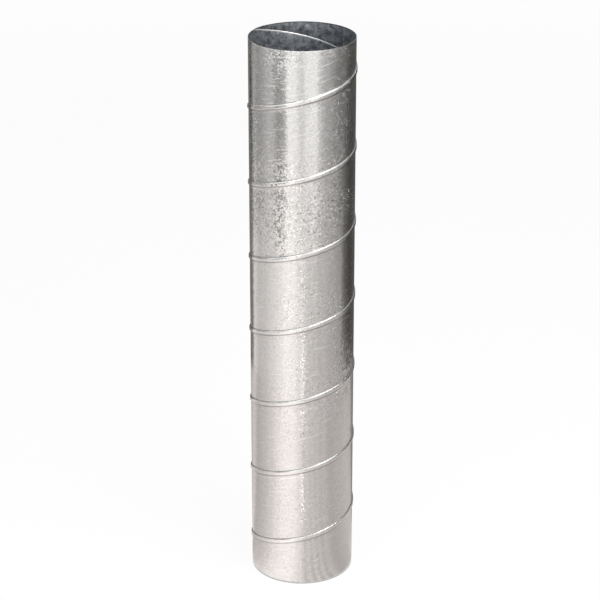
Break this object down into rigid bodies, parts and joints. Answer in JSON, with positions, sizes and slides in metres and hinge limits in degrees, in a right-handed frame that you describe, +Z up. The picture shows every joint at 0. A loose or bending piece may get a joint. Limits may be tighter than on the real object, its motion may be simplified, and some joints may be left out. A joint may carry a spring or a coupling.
{
  "type": "spiral duct pipe",
  "caption": "Straight round ventilation pipe of thin galvanised sheet, open at both ends, with a raised helical lock seam around its outside.",
  "frame": {"origin": "centre of the bottom rim, on the pipe's axis", "axes": "+Z up the pipe's axis from the bottom rim to the top rim; X and Y lie in the plane of the bottom rim"},
  "size_m": [0.1646, 0.1646, 0.88],
  "materials": {
    "galvanised_steel": "hot-dip galvanised sheet: satin zinc with a fine mottled spangle and faint rolling streaks along the strip"
  },
  "bodies": {
    "root": {"spiral_duct_pipe": "galvanised_steel"}
  },
  "joints": []
}
